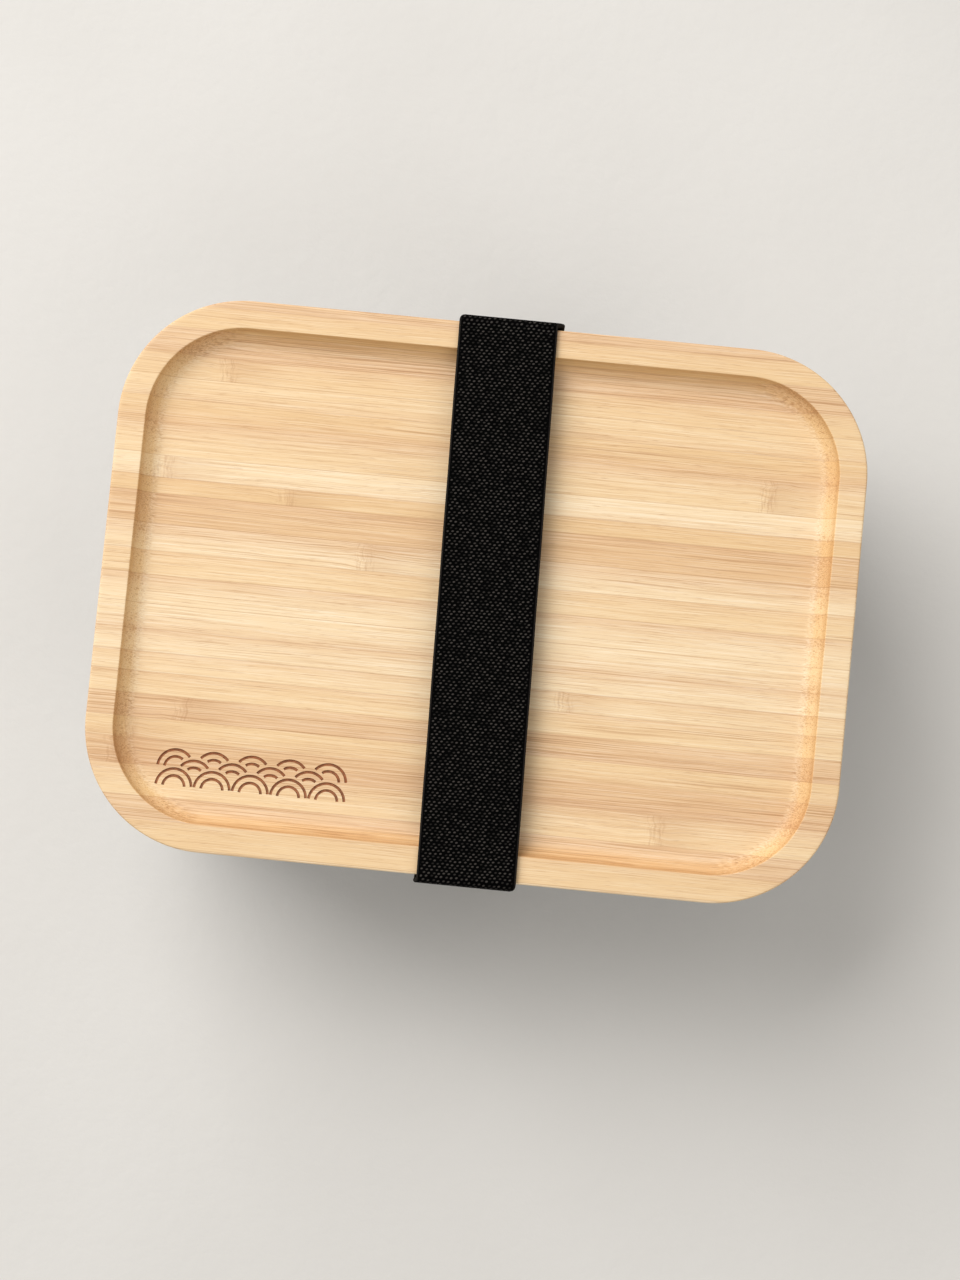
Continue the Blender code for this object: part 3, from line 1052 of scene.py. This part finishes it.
def brushed_group():
    """Fine scratches: round the upright walls, and along X on level faces."""
    group, given, out = node_group(
        "brushed_scratches",
        {
            "Place": ("Vector", None),
            "Facing": ("Vector", None),
            "Line Width": ("Float", 0.00012),
            "Line Length": ("Float", 0.03),
        },
        {"Shade": "Float", "Roughness": "Float", "Height": "Float"},
    )
    x, y, z = split(group, given["Place"])
    up = split(group, given["Facing"])[2]
    level = ramp(group, calc(group, "ABSOLUTE", up), 0.5, 0.85)
    long_x = calc(group, "DIVIDE", x, given["Line Length"])
    long_y = calc(group, "DIVIDE", y, given["Line Length"])
    fine_y = calc(group, "DIVIDE", y, given["Line Width"])
    fine_z = calc(group, "DIVIDE", z, given["Line Width"])
    wall = noise(group, combine(group, long_x, long_y, fine_z), 1.0, 3.0, 0.7)
    flat = noise(group, combine(group, long_x, fine_y, 0.0), 1.0, 3.0, 0.7)
    lines = put(group, "Mix", {0: level, 2: wall, 3: flat}).outputs[0]
    cloud = noise(group, given["Place"], 22.0, 3.0)
    shade = ramp(group, lines, 0.3, 0.7, 0.8, 1.12, False)
    rough = times_plus(group, cloud, 0.12, ramp(group, lines, 0.3, 0.7, 0.14, 0.3, False))
    feed(group, out, {"Shade": shade, "Roughness": rough, "Height": lines})
    return group


def brushed_steel(name, group, colour, width, length):
    made, tree, shader = new_material(name)
    size = {"Line Width": width, "Line Length": length}
    lines = use_group(tree, group, place_and_facing(tree) | size)
    shade = lines["Shade"]
    grey = put(tree, "CombineColor", {0: shade, 1: shade, 2: shade}).outputs[0]
    shaded = blend_colour(tree, 1.0, colour, grey, "MULTIPLY")
    normal = bump(tree, lines["Height"], 0.12, 0.00004)
    finish_with(tree, shader, shaded, lines["Roughness"], normal)
    shader.inputs["Metallic"].default_value = 1.0
    return made


def silicone_group():
    """Moulded silicone: a faint satin mottle, with a little dust that it has picked up."""
    group, given, out = node_group(
        "moulded_silicone",
        {
            "Place": ("Vector", None),
            "Rubber": ("Color", (0.7, 0.72, 0.7, 1)),
            "Dust": ("Color", (0.8, 0.78, 0.74, 1)),
            "Dust Amount": ("Float", 0.15),
        },
        {"Color": "Color", "Roughness": "Float", "Height": "Float"},
    )
    mottle = noise(group, given["Place"], 260.0, 3.0)
    grain = noise(group, given["Place"], 5200.0, 2.0)
    specks = put(group, "TexVoronoi", {"Vector": given["Place"], "Scale": 900.0}).outputs[0]
    dust = calc(
        group, "MAXIMUM",
        ramp(group, specks, 0.14, 0.06),
        ramp(group, mottle, 0.55, 0.75, 0.0, 0.5),
    )
    dust = times(group, dust, given["Dust Amount"])
    colour = blend_colour(group, dust, given["Rubber"], given["Dust"])
    rough = ramp(group, mottle, 0.3, 0.7, 0.42, 0.56)
    height = times_plus(group, grain, 0.5, mottle)
    feed(group, out, {"Color": colour, "Roughness": rough, "Height": height})
    return group


def silicone(name, group, colour, dust):
    made, tree, shader = new_material(name)
    skin = use_group(
        tree, group, {"Place": object_place(tree), "Rubber": colour, "Dust Amount": dust}
    )
    normal = bump(tree, skin["Height"], 0.2, 0.00003)
    finish_with(tree, shader, skin["Color"], skin["Roughness"], normal)
    shader.inputs["Specular IOR Level"].default_value = 0.42
    return made


def thread_fuzz_group():
    """Stray fibres and lint on dark cloth and thread."""
    group, given, out = node_group(
        "thread_fuzz",
        {"Place": ("Vector", None), "Amount": ("Float", 0.3)},
        {"Fuzz": "Float"},
    )
    fine = noise(group, given["Place"], 3800.0, 2.0, 0.6)
    patch = noise(group, given["Place"], 140.0, 2.0)
    lint = times(group, ramp(group, fine, 0.5, 0.8), ramp(group, patch, 0.3, 0.7, 0.4, 1.0))
    feed(group, out, {"Fuzz": times(group, lint, given["Amount"])})
    return group


def woven_elastic(fuzz_group):
    """Black elastic: rows of small raised floats, each row half a step along from the last,
    between two smooth woven edges."""
    made, tree, shader = new_material("woven_elastic")
    along, across, _ = split(tree, put(tree, "UVMap", uv_map="along_band").outputs[0])
    pitch_across, pitch_along, rib_pitch = 1.27 * MM, 0.8 * MM, 0.45 * MM
    half_length, half_width, slant = 0.52 * MM, 0.33 * MM, math.radians(16)  # of a float
    row_place = calc(tree, "DIVIDE", along, pitch_along)
    row = calc(tree, "FLOOR", row_place)
    shift = times(tree, calc(tree, "MODULO", row, 2.0), 0.5)
    column_place = calc(tree, "ADD", calc(tree, "DIVIDE", across, pitch_across), shift)
    column = calc(tree, "FLOOR", column_place)
    lot = put(
        tree, "TexWhiteNoise", {0: combine(tree, row, column, 0.0)}, noise_dimensions="3D"
    ).outputs
    nudge = put(tree, "SeparateColor", {0: lot["Color"]}).outputs

    def from_middle(place, cell, chance, jitter, pitch):
        """Distance from the middle of a float, which stands a little off its cell's middle."""
        inside = calc(tree, "SUBTRACT", calc(tree, "SUBTRACT", place, cell), 0.5)
        off = times_plus(tree, calc(tree, "SUBTRACT", chance, 0.5), jitter, inside)
        return times(tree, off, pitch)

    # Each float slants, so it is measured along its own length and width.
    u = from_middle(column_place, column, nudge[0], 0.22, pitch_across)
    v = from_middle(row_place, row, nudge[1], 0.3, pitch_along)
    lengthwise = times_plus(tree, u, math.cos(slant), times(tree, v, math.sin(slant)))
    sideways = times_plus(tree, v, math.cos(slant), times(tree, u, -math.sin(slant)))
    squares = [
        calc(tree, "POWER", calc(tree, "ABSOLUTE", calc(tree, "DIVIDE", reach, size)), 2.0)
        for reach, size in ((lengthwise, half_length), (sideways, half_width))
    ]
    float_height = calc(tree, "SUBTRACT", 1.0, calc(tree, "ADD", *squares), clamp=True)
    edge = calc(tree, "MINIMUM", across, calc(tree, "SUBTRACT", BAND_WIDTH, across))
    field = ramp(tree, edge, 0.7 * MM, 1.2 * MM)
    rib_wave = calc(tree, "SINE", times(tree, across, 2 * math.pi / rib_pitch))
    ribs = times_plus(tree, rib_wave, 0.12, 0.2)
    floats = calc(tree, "POWER", float_height, 0.6)
    height = put(tree, "Mix", {0: field, 2: ribs, 3: floats}).outputs[0]
    fuzz = use_group(tree, fuzz_group, {"Place": object_place(tree), "Amount": 0.5})["Fuzz"]
    # Painted highlights: the tops of the floats are lighter grey, each by its own random amount.
    glint = times(
        tree,
        times(tree, ramp(tree, float_height, 0.35, 0.9), field),
        ramp(tree, lot["Value"], 0.0, 1.0, 0.25, 1.15),
    )
    # Painted highlight: a lighter strip along each rounded woven edge.
    painted_edge_highlight = times(tree, ramp(tree, edge, 0.55 * MM, 0.3 * MM), 0.35)
    glint = calc(tree, "MAXIMUM", glint, painted_edge_highlight)
    colour = blend_colour(tree, glint, (0.0007, 0.0007, 0.0007, 1), (0.058, 0.051, 0.046, 1))
    colour = blend_colour(tree, times(tree, fuzz, 0.1), colour, (0.06, 0.057, 0.054, 1))
    rough = ramp(tree, float_height, 0.0, 1.0, 0.9, 0.62)
    finish_with(tree, shader, colour, rough, bump(tree, height, 0.9, 0.00022))
    shader.inputs["Specular IOR Level"].default_value = 0.03
    return made


def sewing_thread(fuzz_group):
    made, tree, shader = new_material("sewing_thread")
    place = object_place(tree)
    x, y, z = split(tree, place)
    diagonal = calc(tree, "ADD", calc(tree, "ADD", x, z), times(tree, y, 0.5))
    twist = calc(tree, "SINE", times(tree, diagonal, 2 * math.pi / (0.3 * MM)))
    fuzz = use_group(tree, fuzz_group, {"Place": place, "Amount": 0.8})["Fuzz"]
    colour = blend_colour(
        tree, ramp(tree, twist, -1.0, 1.0), (0.012, 0.012, 0.012, 1), (0.045, 0.044, 0.043, 1)
    )
    colour = blend_colour(tree, fuzz, colour, (0.12, 0.12, 0.115, 1))
    rough = ramp(tree, twist, -1.0, 1.0, 0.7, 0.45)
    finish_with(tree, shader, colour, rough, bump(tree, twist, 0.5, 0.00005))
    return made


def plaster():
    made, tree, shader = new_material("pale_plaster")
    place = object_place(tree)
    cloud = noise(tree, place, 7.0, 4.0)
    pits = noise(tree, place, 210.0, 4.0, 0.6)
    colour = blend_colour(
        tree, ramp(tree, cloud, 0.3, 0.7), (0.73, 0.71, 0.68, 1), (0.77, 0.75, 0.72, 1)
    )
    finish_with(tree, shader, colour, 0.9, bump(tree, pits, 0.25, 0.0006))
    return made


def make_floor():
    bpy.ops.object.select_all(action="DESELECT")
    bpy.ops.mesh.primitive_plane_add(size=6, location=(0, 0, 0))
    floor = bpy.context.object
    floor.name = "floor"
    floor.data.materials.append(plaster())


# ---------------------------------------------------------------- putting it together


def place_piece(piece, body, node, finish=None):
    if finish:
        piece.data.materials.append(finish)
    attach(piece, body)
    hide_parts(node)


def main():
    make_camera()
    make_studio()
    make_floor()

    board = bamboo_board_group()
    lid = make_lid()
    lid.data.materials.append(bamboo(board))
    cutter = make_wave_cutter()
    cutter.data.materials.append(burnt_bamboo(board))
    cut(lid, cutter, use_self=True, material_mode="TRANSFER")
    bpy.ops.object.shade_smooth_by_angle(angle=math.radians(35))
    place_piece(lid, "lid", "bamboo_lid")

    rubber = silicone_group()
    clear = silicone("clear_silicone", rubber, (0.66, 0.68, 0.66, 1), 0.2)
    grey = silicone("grey_silicone", rubber, (0.115, 0.125, 0.13, 1), 0.12)
    place_piece(make_seal(), "lid", "lid_seal", clear)
    place_piece(make_trim(), "divider", "divider_trim", grey)

    scratches = brushed_group()
    tub_steel = brushed_steel("satin_steel", scratches, (0.54, 0.532, 0.52, 1), 0.0001, 0.035)
    plate_steel = brushed_steel("plate_steel", scratches, (0.58, 0.572, 0.56, 1), 0.00016, 0.05)
    place_piece(make_tub(), "tub", "steel_tub", tub_steel)
    place_piece(make_plate(), "divider", "divider_plate", plate_steel)

    fuzz = thread_fuzz_group()
    band, length = make_band()
    band.data.materials.append(woven_elastic(fuzz))
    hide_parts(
        "band_top_run", "band_front_run", "band_back_run", "band_bottom_run", "band_lap"
    )
    stitches = make_stitches()
    stitches.data.materials.append(sewing_thread(fuzz))
    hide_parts("seam_thread")
    for piece in (band, stitches):
        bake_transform(piece)


main()
